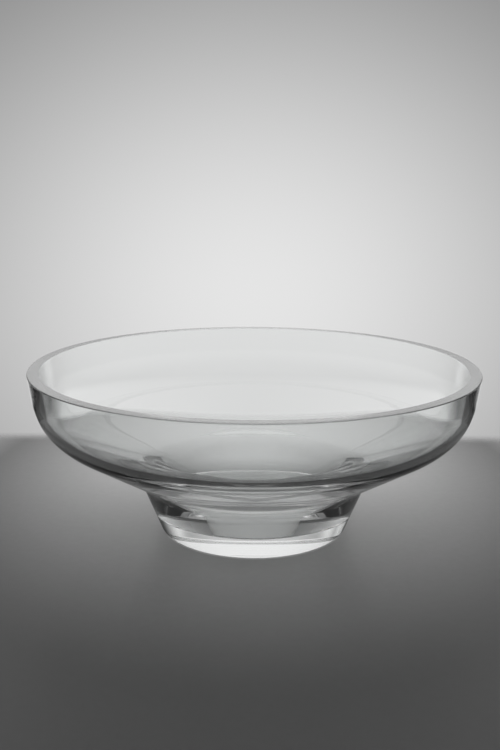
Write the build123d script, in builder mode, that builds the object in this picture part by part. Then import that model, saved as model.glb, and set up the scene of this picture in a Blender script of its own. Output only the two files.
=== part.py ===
from build123d import *
import os
from math import atan2, cos, degrees, radians, sin

# A footed bowl of thick clear glass for floating candles, turned about the Z axis.
# It stands on the plane Z = 0. A solid disc, the foot, is fused face to face under
# the bowl, whose wide dish narrows to a hollow, tapered stem.
# Lengths are millimetres, angles are degrees, and radii are measured from the axis.

# Overall size
RIM_RADIUS = 127.0          # outside of the rim
HEIGHT = 96.0               # plane Z = 0 to the ground top of the rim

# Outside of the dish
WALL_HEIGHT = 31.0          # rim down to the corner where wall and underside would meet
WALL_LEAN = 7.8             # upright wall, from vertical, opening upwards
SHOULDER_ROUND = 34.0       # where the upright wall turns into the underside
NECK_HEIGHT = 30.4          # corner where the underside and the stem would meet
NECK_ROUND = 13.0           # hollow curve that eases that corner

# Outside of the stem and foot
FOOT_RADIUS = 54.0          # stem side carried down to Z = 0
STEM_LEAN = 22.1            # stem side, from vertical, opening upwards
FOOT_EDGE_ROUND = 2.6       # lower edge of the foot
FOOT_THICKNESS = 6.0        # from Z = 0 up to the joint with the bowl

# Inside of the bowl
RIM_WALL = 6.5              # glass at the ground rim
INNER_WALL_LEAN = 7.4       # inner face of the upright wall, from vertical
SHOULDER_WALL = 4.1         # glass at the shoulder corner, square to the underside
INNER_SHOULDER_ROUND = 24.0
NECK_WALL = 12.2            # glass at the neck corner, square to the underside
INNER_NECK_ROUND = 38.0     # lip where the dish floor turns down into the well
WELL_RADIUS = 39.0          # well side carried down to the well floor
WELL_LEAN = 30.2            # well side, from vertical, opening upwards
WELL_FLOOR_HEIGHT = 14.0
WELL_FLOOR_ROUND = 5.0

# Ground and polished places
RIM_BEVEL = 0.5             # both edges of the flat ground rim
PUNT_RADIUS = 44.0          # shallow dome under the foot, which leaves a ring to stand on
PUNT_DEPTH = 1.0


def along(start, angle, distance):
    """Point at a distance from start, at an angle above the outward radius."""
    return (start[0] + distance * cos(radians(angle)), start[1] + distance * sin(radians(angle)))


def slope(start, end):
    """Angle above the outward radius of the line from start to end."""
    return degrees(atan2(end[1] - start[1], end[0] - start[0]))


def meet(first, first_angle, second, second_angle):
    """Point where the line through first, at its angle, crosses the line through second."""
    apart = (second[0] - first[0], second[1] - first[1])
    slant = sin(radians(second_angle - first_angle))
    reach = apart[0] * sin(radians(second_angle)) - apart[1] * cos(radians(second_angle))
    return along(first, first_angle, reach / slant)


# Corners of the outside, from the foot up to the rim, before they are rounded
stem_angle = 90 - STEM_LEAN
wall_angle = 90 - WALL_LEAN
foot_corner = (FOOT_RADIUS, 0)
joint_corner = meet(foot_corner, stem_angle, (0, FOOT_THICKNESS), 0)
neck_corner = meet(foot_corner, stem_angle, (0, NECK_HEIGHT), 0)
rim_corner = (RIM_RADIUS, HEIGHT)
shoulder_corner = meet(rim_corner, wall_angle, (0, HEIGHT - WALL_HEIGHT), 0)

# Corners of the inside, from the rim down to the well floor
square_to_underside = slope(neck_corner, shoulder_corner) + 90
over_neck = along(neck_corner, square_to_underside, NECK_WALL)
over_shoulder = along(shoulder_corner, square_to_underside, SHOULDER_WALL)
floor_angle = slope(over_neck, over_shoulder)
inner_wall_angle = 90 - INNER_WALL_LEAN
inner_rim_corner = (RIM_RADIUS - RIM_WALL, HEIGHT)
well_corner = (WELL_RADIUS, WELL_FLOOR_HEIGHT)
inner_shoulder_corner = meet(over_neck, floor_angle, inner_rim_corner, inner_wall_angle)
inner_neck_corner = meet(over_neck, floor_angle, well_corner, 90 - WELL_LEAN)

# Dish, hollow stem and the floor of the well, in one piece
with BuildPart() as bowl:
    with BuildSketch(Plane.XZ):
        with BuildLine():
            half_section = FilletPolyline(
                (0, FOOT_THICKNESS),
                joint_corner,
                neck_corner,
                shoulder_corner,
                along(rim_corner, wall_angle, -RIM_BEVEL),
                (RIM_RADIUS - RIM_BEVEL, HEIGHT),
                (RIM_RADIUS - RIM_WALL + RIM_BEVEL, HEIGHT),
                along(inner_rim_corner, inner_wall_angle, -RIM_BEVEL),
                inner_shoulder_corner,
                inner_neck_corner,
                well_corner,
                (0, WELL_FLOOR_HEIGHT),
                radius=[
                    0,
                    NECK_ROUND,
                    SHOULDER_ROUND,
                    0,
                    0,
                    0,
                    0,
                    INNER_SHOULDER_ROUND,
                    INNER_NECK_ROUND,
                    WELL_FLOOR_ROUND,
                ],
            )
            Line(half_section @ 1, half_section @ 0)
        make_face()
    revolve(axis=Axis.Z)
bowl.part.label = "bowl"

# Solid disc that carries the bowl, domed in a little below
with BuildPart() as foot:
    with BuildSketch(Plane.XZ):
        with BuildLine():
            dome = TangentArc((0, PUNT_DEPTH), (PUNT_RADIUS, 0), tangent=(1, 0))
            side = FilletPolyline(
                dome @ 1,
                foot_corner,
                joint_corner,
                (0, FOOT_THICKNESS),
                radius=[FOOT_EDGE_ROUND, 0],
            )
            Line(side @ 1, dome @ 0)
        make_face()
    revolve(axis=Axis.Z)
foot.part.label = "foot"

os.makedirs("parts", exist_ok=True)
export_step(bowl.part, "parts/bowl.step")
export_step(foot.part, "parts/foot.step")
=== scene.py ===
"""Footed bowl of thick clear glass, standing on a table in front of a lit backdrop.

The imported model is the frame. Its two nodes, the bowl and the foot that is fused under it, give the
width and the height. Fused clear glass has no seam that light could show, so one closed, turned
surface stands for both nodes. Glass sizes are in millimetres, as a glassmaker draws them, and are
turned into metres when the surface is made. The room is in metres.
"""

from __future__ import annotations

import logging
import math
from dataclasses import dataclass, field
from enum import Enum

import bpy
import numpy as np
from mathutils import Matrix, Vector

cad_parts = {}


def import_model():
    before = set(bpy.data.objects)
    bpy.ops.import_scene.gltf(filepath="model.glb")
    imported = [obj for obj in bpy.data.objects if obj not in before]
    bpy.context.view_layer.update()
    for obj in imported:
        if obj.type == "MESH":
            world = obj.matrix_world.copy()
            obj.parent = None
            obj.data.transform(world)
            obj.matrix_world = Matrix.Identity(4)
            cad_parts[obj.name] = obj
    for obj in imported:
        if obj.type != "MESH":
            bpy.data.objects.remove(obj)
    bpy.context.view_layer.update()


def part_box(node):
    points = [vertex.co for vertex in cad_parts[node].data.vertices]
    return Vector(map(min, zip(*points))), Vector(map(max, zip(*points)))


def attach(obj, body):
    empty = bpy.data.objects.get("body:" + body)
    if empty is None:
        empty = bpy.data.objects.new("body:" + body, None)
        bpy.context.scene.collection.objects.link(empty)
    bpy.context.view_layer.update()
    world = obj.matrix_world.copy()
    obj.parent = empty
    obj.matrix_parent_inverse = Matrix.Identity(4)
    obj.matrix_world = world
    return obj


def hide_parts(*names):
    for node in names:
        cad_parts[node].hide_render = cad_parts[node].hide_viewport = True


LOG = logging.getLogger("bowl")
METRES_PER_MM = 0.001
HALF_TURN = 180.0
MOST_BOUNCES = 11


@dataclass(frozen=True)
class Corner:
    """One corner of the half section of the glass, before it is rounded, in millimetres."""

    radius: float
    height: float
    rounding: float = 0.0

    @property
    def place(self) -> np.ndarray:
        """Radius and height as an array."""
        return np.array([self.radius, self.height])


def along(start: Corner, angle: float, distance: float, rounding: float = 0.0) -> Corner:
    """Find the corner at a distance from another one.

    Args:
        start: Corner to measure from.
        angle: Degrees above the outward radius.
        distance: Millimetres along that direction.
        rounding: Rounding of the new corner.

    Returns:
        start + distance * (cos angle, sin angle).
    """
    lean = math.radians(angle)
    return Corner(
        start.radius + distance * math.cos(lean),
        start.height + distance * math.sin(lean),
        rounding,
    )


def slope(start: Corner, end: Corner) -> float:
    """Angle of the side from start to end, in degrees above the outward radius."""
    return math.degrees(math.atan2(end.height - start.height, end.radius - start.radius))


def meet(
    first: Corner, first_angle: float, second: Corner, second_angle: float, rounding: float = 0.0
) -> Corner:
    """Find where two straight sides of the half section cross.

    Args:
        first: A point on the first side.
        first_angle: Direction of the first side, in degrees above the outward radius.
        second: A point on the second side.
        second_angle: Direction of the second side.
        rounding: Rounding of the corner that they make.

    Returns:
        The crossing: the first point moved along its side by the cross product of the way between
        the points and the second direction, over the sine of the angle between the sides.
    """
    apart = second.place - first.place
    turn = math.radians(second_angle)
    reach = apart[0] * math.sin(turn) - apart[1] * math.cos(turn)
    slant = math.sin(math.radians(second_angle - first_angle))
    return along(first, first_angle, reach / slant, rounding)


@dataclass
class HalfSection:
    """Half section of a turned piece of glass, from the axis below round to the axis above."""

    corners: list[Corner]
    arc_step: float = 2.5

    def arc(self, before: Corner, corner: Corner, after: Corner) -> tuple[np.ndarray, np.ndarray]:
        """Round one corner.

        Both sides are cut back by r / tan(half the angle between them), and the centre lies on the
        line that halves that angle, r / sin(half the angle) from the corner. Points go round it at
        even angles, and the outward side at each point looks along the spoke through it.

        Args:
            before: Corner before this one.
            corner: The corner to round.
            after: Corner after this one.

        Returns:
            Points of the arc, and the direction that the surface faces at each.
        """
        back = before.place - corner.place
        ahead = after.place - corner.place
        back /= np.linalg.norm(back)
        ahead /= np.linalg.norm(ahead)
        half = math.acos(float(np.clip(back @ ahead, -1.0, 1.0))) / 2
        middle = (back + ahead) / np.linalg.norm(back + ahead)
        centre = corner.place + middle * corner.rounding / math.sin(half)
        first = corner.place + back * corner.rounding / math.tan(half) - centre
        last = corner.place + ahead * corner.rounding / math.tan(half) - centre
        start = math.atan2(first[1], first[0])
        sweep = (math.atan2(last[1], last[0]) - start + math.pi) % (2 * math.pi) - math.pi
        steps = max(3, math.ceil(abs(math.degrees(sweep)) / self.arc_step))
        angles = start + sweep * np.linspace(0.0, 1.0, steps + 1)
        spokes = np.stack([np.cos(angles), np.sin(angles)], axis=1)
        return centre + corner.rounding * spokes, spokes * math.copysign(1.0, sweep)

    def trace(self) -> tuple[np.ndarray, np.ndarray, np.ndarray]:
        """Join the straight sides and the arcs.

        Going round with the glass on the left, a straight side from p to q faces (dz, -dr). An arc
        faces along its spokes, so a rounded corner has one direction at each of its points and a
        crisp corner has two.

        Returns:
            Points (n, 2), and the direction faced at the start and at the end of each of the n - 1
            stretches between them.
        """
        points = [self.corners[0].place[None]]
        starts: list[np.ndarray] = []
        ends: list[np.ndarray] = []
        for before, corner, after in zip(self.corners, self.corners[1:], self.corners[2:] + [None]):
            if after is None or corner.rounding <= 0.0:
                bend, facing = corner.place[None], np.zeros((0, 2))
            else:
                bend, facing = self.arc(before, corner, after)
            run = bend[0] - points[-1][-1]
            outward = np.array([[run[1], -run[0]]]) / np.linalg.norm(run)
            starts += [outward, facing[:-1]]
            ends += [outward, facing[1:]]
            points.append(bend)
        return np.concatenate(points), np.concatenate(starts), np.concatenate(ends)


class Ray(Enum):
    """What a ray is asked when it leaves the scene, to show it something of its own."""

    CAMERA = "Is Camera Ray"
    DIFFUSE = "Is Diffuse Ray"
    SCATTERED = "Diffuse Depth"
    MIRRORED = "Glossy Depth"


@dataclass
class Graph:
    """A material's or world's nodes, with short calls for the few kinds that are used here."""

    tree: bpy.types.NodeTree

    def node(self, kind: str, **settings: object) -> bpy.types.Node:
        """Add a node of a kind and set its properties."""
        made = self.tree.nodes.new(kind)
        for name, value in settings.items():
            setattr(made, name, value)
        return made

    def link(self, source: bpy.types.NodeSocket, target: bpy.types.NodeSocket) -> None:
        """Join an output to an input."""
        self.tree.links.new(source, target)

    def feed(self, target: bpy.types.NodeSocket, value: object) -> None:
        """Give an input a link if the value is an output, and a plain number or colour if not."""
        if isinstance(value, bpy.types.NodeSocket):
            self.link(value, target)
        else:
            target.default_value = value

    def math(self, operation: str, *values: object) -> bpy.types.NodeSocket:
        """Work out one step of arithmetic on outputs and numbers."""
        made = self.node("ShaderNodeMath", operation=operation)
        for target, value in zip(made.inputs, values):
            self.feed(target, value)
        return made.outputs[0]

    def times(self, first: object, second: object) -> bpy.types.NodeSocket:
        """Multiply two values."""
        return self.math("MULTIPLY", first, second)

    def plus(self, first: object, second: object) -> bpy.types.NodeSocket:
        """Add two values."""
        return self.math("ADD", first, second)

    def length(self, first: object, second: object) -> bpy.types.NodeSocket:
        """Length of a flat vector: the root of the sum of the squares."""
        squares = self.plus(self.times(first, first), self.times(second, second))
        return self.math("SQRT", squares)

    def ramp(
        self, value: object, start: float, end: float, low: float = 0.0, high: float = 1.0
    ) -> bpy.types.NodeSocket:
        """Ease a value from low at start to high at end, as 3t^2 - 2t^3."""
        made = self.node("ShaderNodeMapRange", interpolation_type="SMOOTHSTEP")
        for target, number in zip(made.inputs, (value, start, end, low, high)):
            self.feed(target, number)
        return made.outputs[0]

    def spread(self, value: object, low: float, high: float) -> bpy.types.NodeSocket:
        """Stretch a value that runs from 0 to 1 so that it runs from low to high."""
        return self.plus(self.times(value, high - low), low)

    def choose(self, switch: object, when_on: object, when_off: object) -> bpy.types.NodeSocket:
        """One value where the switch is 1 and another where it is 0."""
        off_share = self.math("SUBTRACT", 1.0, switch)
        return self.plus(self.times(switch, when_on), self.times(off_share, when_off))

    def split(self, vector: bpy.types.NodeSocket) -> tuple[bpy.types.NodeSocket, ...]:
        """Take a vector apart into x, y and z."""
        made = self.node("ShaderNodeSeparateXYZ")
        self.link(vector, made.inputs[0])
        return tuple(made.outputs)

    def object_place(self) -> bpy.types.NodeSocket:
        """Place on the piece, in metres."""
        return self.node("ShaderNodeTexCoord").outputs["Object"]

    def unmirrored(self) -> bpy.types.NodeSocket:
        """1 for a ray that nothing mirrored on its way here, and 0 for one that was mirrored."""
        return self.math("LESS_THAN", self.node("ShaderNodeLightPath").outputs[Ray.MIRRORED.value], 0.5)

    def noise(self, place: bpy.types.NodeSocket, scale: float, detail: float) -> bpy.types.NodeSocket:
        """Cloudy value from 0 to 1, with one cloud to every 1 / scale metres."""
        made = self.node("ShaderNodeTexNoise")
        self.link(place, made.inputs["Vector"])
        made.inputs["Scale"].default_value = scale
        made.inputs["Detail"].default_value = detail
        return made.outputs["Fac"]

    def blend(
        self, share: object, first: tuple[float, ...], second: tuple[float, ...]
    ) -> bpy.types.NodeSocket:
        """Mix two colours by a share from 0 to 1."""
        made = self.node("ShaderNodeMix", data_type="RGBA")
        self.feed(made.inputs["Factor"], share)
        made.inputs["A"].default_value = (*first, 1.0)
        made.inputs["B"].default_value = (*second, 1.0)
        return made.outputs["Result"]

    def bump(self, height: object, depth: float) -> bpy.types.NodeSocket:
        """Tilt the surface as if it rose by a height from 0 to 1, times a depth in metres."""
        made = self.node("ShaderNodeBump")
        made.inputs["Distance"].default_value = depth
        self.feed(made.inputs["Height"], height)
        return made.outputs["Normal"]


@dataclass(frozen=True)
class ClearGlass:
    """Polished soda-lime glass with its ground places, as a finish for the whole bowl.

    Lengths are in metres, and scales are in clouds to the metre. The ground places begin a hair under
    the rim and over the table, and are fully ground at ground_full.
    """

    tint: tuple[float, float, float] = (0.985, 0.992, 0.990)
    tint_deep: tuple[float, float, float] = (0.965, 0.980, 0.976)
    refraction: float = 1.52
    ripple_size: float = 0.045
    ripple_depth: float = 0.000006
    rim_ground_from: float = 0.0004
    ring_ground_from: float = 0.0003
    ground_full: float = 0.0001
    rim_haze: float = 0.2
    rim_frost: float = 0.3
    ring_edge: float = 0.0008
    ring_haze_low: float = 0.266
    ring_haze_high: float = 0.456
    scuff_scale: float = 900.0

    def material(self, rim_height: float, ring_radius: float) -> bpy.types.Material:
        """Make the glass.

        Args:
            rim_height: Height of the flat ground rim, in metres.
            ring_radius: Inner radius of the ground ring under the foot, in metres.

        Returns:
            Glass whose tint drifts a little with the melt, whose polished skin has the slow ripple
            of hand-made glass, whose rim is fine-ground to a pale frost, and whose standing ring
            under the foot is ground and scuffed.
        """
        material = bpy.data.materials.new("clear_glass")
        material.use_nodes = True
        graph = Graph(material.node_tree)
        skin = material.node_tree.nodes["Principled BSDF"]
        skin.inputs["IOR"].default_value = self.refraction

        place = graph.object_place()
        across, forward, up = graph.split(place)
        melt = graph.noise(place, 1.0 / self.ripple_size, detail=2.0)
        graph.link(graph.blend(melt, self.tint, self.tint_deep), skin.inputs["Base Color"])

        on_rim = graph.ramp(up, rim_height - self.rim_ground_from, rim_height - self.ground_full)
        graph.link(graph.spread(on_rim, 1.0, 1.0 - self.rim_frost), skin.inputs["Transmission Weight"])

        reach = graph.length(across, forward)
        under = graph.ramp(up, self.ring_ground_from, self.ground_full)
        on_ring = graph.times(under, graph.ramp(reach, ring_radius - self.ring_edge, ring_radius))
        scuffs = graph.noise(place, self.scuff_scale, detail=4.0)
        ring_tone = graph.times(on_ring, graph.spread(scuffs, self.ring_haze_low, self.ring_haze_high))
        rim_tone = graph.times(on_rim, self.rim_haze)
        graph.link(graph.plus(rim_tone, ring_tone), skin.inputs["Roughness"])

        ripple = graph.bump(graph.noise(place, 0.5 / self.ripple_size, detail=1.0), self.ripple_depth)
        graph.link(ripple, skin.inputs["Normal"])
        return material


@dataclass
class GlassBowl:
    """The bowl with its fused foot, as one closed surface turned about the Z axis."""

    rim_radius: float
    height: float
    wall_height: float = 31.0
    wall_lean: float = 7.8
    shoulder_round: float = 34.0
    neck_height: float = 30.4
    neck_round: float = 13.0
    foot_radius: float = 54.0
    stem_lean: float = 22.1
    foot_edge_round: float = 2.6
    rim_wall: float = 6.5
    rim_edge_round: float = 0.6
    inner_wall_lean: float = 7.4
    shoulder_wall: float = 4.1
    inner_shoulder_round: float = 24.0
    neck_wall: float = 12.2
    inner_neck_round: float = 38.0
    well_radius: float = 37.3
    well_lean: float = 30.2
    well_floor_height: float = 11.0
    well_floor_round: float = 3.0
    punt_radius: float = 44.0
    punt_depth: float = 1.0
    spokes: int = 384
    finish: ClearGlass = field(default_factory=ClearGlass)

    def corners(self) -> list[Corner]:
        """List the corners of the half section, from the middle of the foot round to the well floor."""
        wall_angle = 90.0 - self.wall_lean
        inner_wall_angle = 90.0 - self.inner_wall_lean
        foot = Corner(self.foot_radius, 0.0, self.foot_edge_round)
        neck_level = Corner(0.0, self.neck_height)
        neck = meet(foot, 90.0 - self.stem_lean, neck_level, 0.0, self.neck_round)
        rim = Corner(self.rim_radius, self.height, self.rim_edge_round)
        shoulder_level = Corner(0.0, self.height - self.wall_height)
        shoulder = meet(rim, wall_angle, shoulder_level, 0.0, self.shoulder_round)
        inner_rim = Corner(self.rim_radius - self.rim_wall, self.height, self.rim_edge_round)
        well = Corner(self.well_radius, self.well_floor_height, self.well_floor_round)

        square = slope(neck, shoulder) + 90.0
        over_neck = along(neck, square, self.neck_wall)
        over_shoulder = along(shoulder, square, self.shoulder_wall)
        floor_angle = slope(over_neck, over_shoulder)
        inner_shoulder = meet(over_neck, floor_angle, inner_rim, inner_wall_angle, self.inner_shoulder_round)
        inner_neck = meet(over_neck, floor_angle, well, 90.0 - self.well_lean, self.inner_neck_round)
        return [
            Corner(0.0, self.punt_depth),
            Corner(self.punt_radius, 0.0),
            foot,
            neck,
            shoulder,
            rim,
            inner_rim,
            inner_shoulder,
            inner_neck,
            well,
            Corner(0.0, self.well_floor_height),
        ]

    def surface(self) -> tuple[np.ndarray, np.ndarray, np.ndarray]:
        """Turn the half section about Z.

        A point at radius r and height z goes to (r cos a, r sin a, z) for every spoke angle a, and a
        direction (s, c) of the half section to (s cos a, s sin a, c). Each stretch of the half
        section and each step between spokes is one face with four corners. At the axis the two
        corners that fall together are one, so the first and last rows are triangles.

        Returns:
            Points (n, 3), faces as corner numbers (m, 4) where a triangle repeats its last corner,
            and the direction at each face corner (m, 4, 3).
        """
        section, starts, ends = HalfSection(self.corners()).trace()
        angles = np.linspace(0.0, 2.0 * math.pi, self.spokes, endpoint=False)
        circle = np.stack([np.cos(angles), np.sin(angles)], axis=1)
        rings = section[1:-1] * METRES_PER_MM
        swept = np.concatenate(
            [
                rings[:, None, :1] * circle[None],
                np.repeat(rings[:, None, 1:], self.spokes, axis=1),
            ],
            axis=2,
        ).reshape(-1, 3)
        poles = np.array([[0.0, 0.0, section[0, 1]], [0.0, 0.0, section[-1, 1]]]) * METRES_PER_MM
        points = np.concatenate([poles, swept])

        here = np.arange(self.spokes)
        beside = np.roll(here, -1)
        row = 2 + self.spokes * np.arange(len(rings))[:, None]
        low_here, low_beside = row[:-1] + here, row[:-1] + beside
        walls = np.stack([low_here, low_beside, low_beside + self.spokes, low_here + self.spokes], axis=2)
        bottom = np.stack([beside * 0, row[0] + beside, row[0] + here, row[0] + here], axis=1)
        top = np.stack([row[-1] + here, row[-1] + beside, beside * 0 + 1, beside * 0 + 1], axis=1)
        faces = np.concatenate([bottom, walls.reshape(-1, 4), top])

        def turned(direction: np.ndarray, spoke: np.ndarray) -> np.ndarray:
            """Directions of the half section, carried round to the spokes."""
            flat = direction[:, None, :1] * circle[spoke][None]
            rise = np.repeat(direction[:, None, 1:], self.spokes, axis=1)
            return np.concatenate([flat, rise], axis=2)

        begin_here, begin_beside = turned(starts, here), turned(starts, beside)
        end_here, end_beside = turned(ends, here), turned(ends, beside)
        facing_walls = np.stack([begin_here, begin_beside, end_beside, end_here], axis=2)[1:-1]
        facing_bottom = np.stack([begin_here[0], end_beside[0], end_here[0], end_here[0]], axis=1)
        facing_top = np.stack([begin_here[-1], begin_beside[-1], end_here[-1], end_here[-1]], axis=1)
        facing = np.concatenate([facing_bottom, facing_walls.reshape(-1, 4, 3), facing_top])
        return points, faces, facing

    def build(self) -> bpy.types.Object:
        """Make the glass as a mesh whose shading follows the true curves of the half section.

        Returns:
            The finished piece, riding on the object's one body.
        """
        points, faces, facing = self.surface()
        is_triangle = faces[:, 2] == faces[:, 3]
        sizes = np.where(is_triangle, 3, 4)
        kept = np.ones(faces.shape, dtype=bool)
        kept[is_triangle, 3] = False
        mesh = bpy.data.meshes.new("glass_bowl")
        mesh.vertices.add(len(points))
        mesh.vertices.foreach_set("co", points.ravel())
        mesh.loops.add(int(sizes.sum()))
        mesh.loops.foreach_set("vertex_index", faces[kept])
        mesh.polygons.add(len(faces))
        mesh.polygons.foreach_set("loop_start", np.concatenate([[0], np.cumsum(sizes)[:-1]]))
        mesh.polygons.foreach_set("use_smooth", np.ones(len(faces), dtype=bool))
        mesh.update(calc_edges=True)
        mesh.validate()
        mesh.normals_split_custom_set(facing[kept].tolist())
        piece = bpy.data.objects.new("glass_bowl", mesh)
        bpy.context.scene.collection.objects.link(piece)
        mesh.materials.append(
            self.finish.material(self.height * METRES_PER_MM, self.punt_radius * METRES_PER_MM)
        )
        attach(piece, "root")
        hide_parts("bowl", "foot")
        return piece


@dataclass
class Table:
    """A plain satin table top that ends in a soft line.

    Its paint carries a painted pool of light, palest behind the bowl, and painted shade in front, and it is
    pale again far off. The small disc under the foot is painted palest of all: painted light that stands
    for the light that the glass gathers there. The pale paint also stands in for the satin sheen seen at
    low angles, so a ray that was mirrored in the glass, which comes down steeply, finds the top darker.
    Lengths are in metres, and places are measured from the axis of the bowl.
    """

    half_width: float = 3.0
    near_edge: float = -3.0
    far_edge: float = 0.175
    far_blur: float = 0.013
    clearance: float = 0.0003
    # Painted light and painted shade: tone in the middle of the painted pool of light, and at its edge.
    pale: float = 0.76
    painted_shade: float = 0.055
    # Painted sheen: share of the paint that rays mirrored in the glass see.
    mirrored: float = 0.5
    far_pale: float = 0.42
    far_pale_from: float = 0.27
    far_pale_full: float = 0.55
    far_pale_sideways: float = 1.9
    painted_light_centre: float = 0.125
    painted_light_half_width: float = 0.215
    painted_light_half_depth: float = 0.30
    painted_light_reach: float = 1.05
    satin: float = 0.35
    sheen: float = 0.15
    # Painted light: the disc under the foot, standing for the light that the glass gathers there.
    painted_caustic_light: float = 0.95
    painted_caustic_radius: float = 0.0545
    painted_caustic_blur: float = 0.003
    grain_scale: float = 220.0
    grain_depth: float = 0.06

    def build(self) -> bpy.types.Object:
        """Make the table top, a hair below the foot so that light is turned back inside the glass.

        Returns:
            The table top.
        """
        far = self.far_edge + 2.0 * self.far_blur
        sides = np.array([[-1.0, 0.0], [1.0, 0.0], [1.0, 1.0], [-1.0, 1.0]])
        ground = np.column_stack(
            [
                sides[:, 0] * self.half_width,
                self.near_edge + sides[:, 1] * (far - self.near_edge),
                np.full(4, -self.clearance),
            ]
        )
        mesh = bpy.data.meshes.new("table_top")
        mesh.from_pydata(ground.tolist(), [], [(0, 1, 2, 3)])
        mesh.update()
        top = bpy.data.objects.new("table_top", mesh)
        bpy.context.scene.collection.objects.link(top)
        mesh.materials.append(self.material())
        return top

    def material(self) -> bpy.types.Material:
        """Make the top's paint.

        Returns:
            Grey with a painted pool of light that eases from its middle out to painted shade at its
            ellipse, is lifted again far off, has painted light in the disc under the foot, is darker as
            painted sheen for rays mirrored in the glass, carries a fine grain, and turns clear over the far
            edge.
        """
        material = bpy.data.materials.new("table_paint")
        material.use_nodes = True
        graph = Graph(material.node_tree)
        paint = material.node_tree.nodes["Principled BSDF"]
        paint.inputs["Roughness"].default_value = self.satin
        paint.inputs["Specular IOR Level"].default_value = self.sheen
        place = graph.object_place()
        across, forward, _ = graph.split(place)
        sideways = graph.math("DIVIDE", across, self.painted_light_half_width)
        behind = graph.math("SUBTRACT", forward, self.painted_light_centre)
        backwards = graph.math("DIVIDE", behind, self.painted_light_half_depth)
        apart = graph.length(sideways, backwards)
        # Painted pool of light behind the bowl, easing out to painted shade in front and at the sides.
        shade = graph.ramp(apart, 0.0, self.painted_light_reach, self.pale, self.painted_shade)
        beyond = graph.length(graph.times(across, self.far_pale_sideways), forward)
        outside = graph.ramp(beyond, self.far_pale_from, self.far_pale_full, 0.0, self.far_pale)
        # Painted reflection: the pale paint stands in for the satin sheen seen at low angles, so rays
        # mirrored in the glass see it darker.
        direct = graph.unmirrored()
        shade = graph.times(shade, graph.spread(direct, self.mirrored, 1.0))
        shade = graph.math("MAXIMUM", shade, graph.times(outside, direct))
        # Painted light: a pale disc under the foot stands for the light that the glass gathers there.
        reach = graph.length(across, forward)
        under = graph.ramp(reach, self.painted_caustic_radius - self.painted_caustic_blur, self.painted_caustic_radius, 1.0, 0.0)
        shade = graph.choose(under, self.painted_caustic_light, shade)
        grain = graph.noise(place, self.grain_scale, detail=6.0)
        unevenness = graph.spread(grain, 1.0 - self.grain_depth, 1.0 + self.grain_depth)
        graph.link(graph.times(shade, unevenness), paint.inputs["Base Color"])
        fade = graph.ramp(forward, self.far_edge - self.far_blur, self.far_edge + self.far_blur, 1.0, 0.0)
        graph.link(fade, paint.inputs["Alpha"])
        return material


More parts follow.
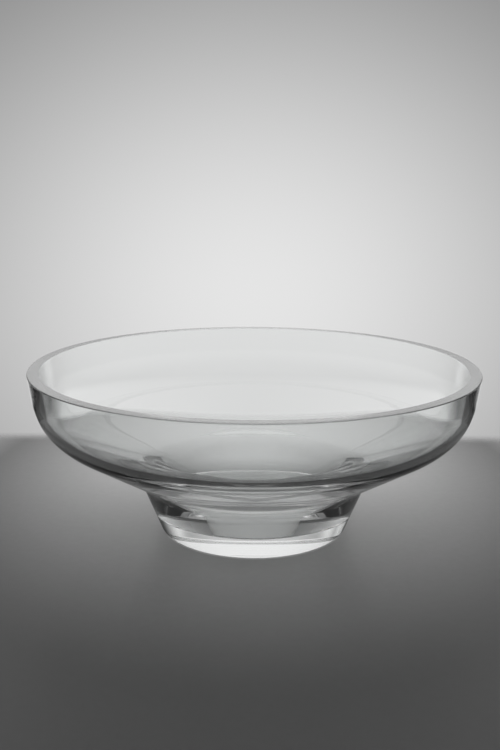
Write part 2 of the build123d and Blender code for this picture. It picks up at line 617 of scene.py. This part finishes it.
@dataclass
class Studio:
    """The room: a backdrop behind the bowl with a softbox over it, and soft light for the rest.

    Glass and polish show these lights against a dark room, which draws the bowl's edges. A ray that
    glass only bends, and nothing mirrors, also finds the backdrop behind the other viewpoints, so
    clear glass is clear from there too. Directions are in degrees: azimuth from +Y towards +X, and
    elevation above the level.
    """

    lit_side: float = 0.0
    other_sides: tuple[float, ...] = (-90.0, 135.0)
    low_side: float = -45.0
    low_side_full: float = -20.0
    low_side_top: float = -14.0
    half_width: float = 28.0
    widening: float = 1.2
    flare: float = 26.0
    flare_foot: float = 3.0
    core: float = 0.62
    backdrop: float = 0.80
    backdrop_dusk: float = 0.42
    backdrop_fall: float = 0.89
    backdrop_foot: float = -17.0
    backdrop_even: float = -8.0
    backdrop_full: float = -2.0
    backdrop_top: float = 9.5
    softbox: float = 0.9
    softbox_foot: float = 8.0
    softbox_full: float = 12.0
    softbox_fades: float = 36.0
    softbox_top: float = 130.0
    surround: float = 0.02
    overhead: float = 0.3
    overhead_full: float = 70.0
    daylight: float = 1.0
    daylight_lean: float = 0.95
    daylight_through: float = 0.55
    glow_edge: float = 0.16
    glow: float = 0.62
    glow_width: float = 38.0
    glow_height: float = 31.0
    glow_centre: float = -7.5

    def build(self) -> bpy.types.World:
        """Make the room as the world's light, one value for each kind of ray.

        The table's own light leans towards the backdrop: daylight + lean * (forward part of the
        direction), which adds nothing on level ground and leaves the shade in front of the bowl.
        The share of it that comes through the glass is less than the share from open sky.

        Returns:
            The world, set on the scene.
        """
        world = bpy.data.worlds.new("studio")
        bpy.context.scene.world = world
        world.use_nodes = True
        graph = Graph(world.node_tree)
        world.node_tree.nodes.clear()
        direction = graph.node("ShaderNodeTexCoord").outputs["Generated"]
        across, forward, up = graph.split(direction)
        azimuth = graph.times(graph.math("ARCTAN2", across, forward), math.degrees(1.0))
        elevation = graph.times(graph.math("ARCSINE", up), math.degrees(1.0))

        ray = graph.node("ShaderNodeLightPath")
        seen = self.as_seen(graph, azimuth, elevation)
        bent = self.as_bent(graph, azimuth, elevation, graph.unmirrored())
        light = graph.choose(ray.outputs[Ray.CAMERA.value], seen, bent)
        even = graph.plus(graph.times(forward, self.daylight_lean), self.daylight)
        scattered = graph.math("GREATER_THAN", ray.outputs[Ray.SCATTERED.value], 0.5)
        share = graph.spread(ray.outputs[Ray.DIFFUSE.value], self.daylight_through, 1.0)
        light = graph.choose(scattered, graph.times(even, share), light)
        glow = graph.node("ShaderNodeBackground")
        graph.link(light, glow.inputs["Color"])
        end = graph.node("ShaderNodeOutputWorld")
        graph.link(glow.outputs[0], end.inputs["Surface"])
        return world

    def turned(self, graph: Graph, azimuth: object, *sides: float) -> bpy.types.NodeSocket:
        """Angle round from the middle of the nearest of some sides, from 0 to 180."""
        nearest: object = HALF_TURN
        for side in sides:
            apart = graph.math("WRAP", graph.math("SUBTRACT", azimuth, side), HALF_TURN, -HALF_TURN)
            nearest = graph.math("MINIMUM", nearest, graph.math("ABSOLUTE", apart))
        return nearest

    def as_seen(self, graph: Graph, azimuth: object, elevation: object) -> bpy.types.NodeSocket:
        """Room in plain sight: a round glow behind the bowl that eases out to the edges."""
        turned = self.turned(graph, azimuth, self.lit_side, self.low_side, *self.other_sides)
        sideways = graph.math("DIVIDE", turned, self.glow_width)
        upwards = graph.math("DIVIDE", graph.math("SUBTRACT", elevation, self.glow_centre), self.glow_height)
        apart = graph.length(sideways, upwards)
        return graph.ramp(apart, 0.0, 1.0, self.glow_edge + self.glow, self.glow_edge)

    def as_bent(
        self, graph: Graph, azimuth: object, elevation: object, unmirrored: object
    ) -> bpy.types.NodeSocket:
        """Light the room for rays that met glass or polish.

        Args:
            graph: The world's nodes.
            azimuth: Azimuth of the ray.
            elevation: Elevation of the ray.
            unmirrored: 1 for a ray that was only bent, 0 for one that was mirrored on its way.

        Returns:
            Backdrop low down, a softbox over it that is wider by the flare and widens further upwards,
            and a dark room round them that grows lighter overhead.
        """
        above = graph.math("MAXIMUM", graph.math("SUBTRACT", elevation, self.softbox_full), 0.0)
        flare = graph.ramp(elevation, self.flare_foot, self.softbox_full, 0.0, self.flare)
        reach = graph.plus(graph.times(above, self.widening), self.half_width)
        reach = graph.plus(reach, flare)

        def side(*middles: float) -> bpy.types.NodeSocket:
            """Share of a side's light, full in its core and none past its reach."""
            share = graph.math("DIVIDE", self.turned(graph, azimuth, *middles), reach)
            return graph.ramp(share, self.core, 1.0, 1.0, 0.0)

        low = graph.ramp(elevation, self.backdrop_full, self.backdrop_top, self.backdrop, self.backdrop_dusk)
        fall = graph.ramp(elevation, self.backdrop_foot, self.backdrop_even, self.backdrop_fall, 1.0)
        low = graph.times(low, fall)
        high = graph.ramp(elevation, self.softbox_fades, self.softbox_top, self.softbox, 0.0)
        lit = graph.choose(graph.ramp(elevation, self.softbox_foot, self.softbox_full), high, low)
        below = graph.ramp(elevation, self.low_side_full, self.low_side_top, 1.0, 0.0)
        others = graph.math("MAXIMUM", side(*self.other_sides), graph.times(side(self.low_side), below))
        share = graph.math("MAXIMUM", side(self.lit_side), graph.times(others, unmirrored))
        room = graph.ramp(elevation, self.softbox_fades, self.overhead_full, self.surround, self.overhead)
        return graph.math("MAXIMUM", graph.times(share, lit), room)


@dataclass
class Viewpoint:
    """The camera, as it stood for the photograph: lens in millimetres, places in metres, degrees."""

    lens: float = 43.15
    sensor: float = 36.0
    distance: float = 0.5038
    eye_height: float = 0.2024
    look_down: float = 12.65
    look_left: float = 0.274
    tilt: float = 0.3

    def build(self) -> bpy.types.Object:
        """Make the camera.

        Returns:
            The camera, set on the scene.
        """
        data = bpy.data.cameras.new("viewpoint")
        data.sensor_fit = "AUTO"
        data.sensor_width = self.sensor
        data.lens = self.lens
        camera = bpy.data.objects.new("viewpoint", data)
        bpy.context.scene.collection.objects.link(camera)
        yaw, pitch, roll = (math.radians(a) for a in (self.look_left, self.look_down, self.tilt))
        ahead = Vector((-math.sin(yaw) * math.cos(pitch), math.cos(yaw) * math.cos(pitch), -math.sin(pitch)))
        level = ahead.cross(Vector((0.0, 0.0, 1.0))).normalized()
        upright = level.cross(ahead)
        right = level * math.cos(roll) + upright * math.sin(roll)
        up = upright * math.cos(roll) - level * math.sin(roll)
        place = Matrix((right, up, -ahead)).transposed().to_4x4()
        place.translation = Vector((0.0, -self.distance, self.eye_height))
        camera.matrix_world = place
        bpy.context.scene.camera = camera
        return camera


def let_light_through() -> None:
    """Follow light through the thick base, and leave dark what is still trapped after that."""
    cycles = bpy.context.scene.cycles
    cycles.max_bounces = MOST_BOUNCES
    cycles.transmission_bounces = MOST_BOUNCES
    cycles.glossy_bounces = MOST_BOUNCES


def main() -> None:
    """Load the frame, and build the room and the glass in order."""
    logging.basicConfig(level=logging.INFO, format="%(name)s: %(message)s")
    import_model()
    bpy.context.scene.view_settings.view_transform = "Standard"
    let_light_through()

    for part in (Viewpoint(), Studio(), Table()):
        made = part.build()
        LOG.info("%s: %s", type(part).__name__, made.name)

    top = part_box("bowl")[1]
    bowl = GlassBowl(rim_radius=top.x / METRES_PER_MM, height=top.z / METRES_PER_MM)
    glass = bowl.build()
    LOG.info("GlassBowl: %s, %d faces", glass.name, len(glass.data.polygons))


if __name__ == "__main__":
    main()
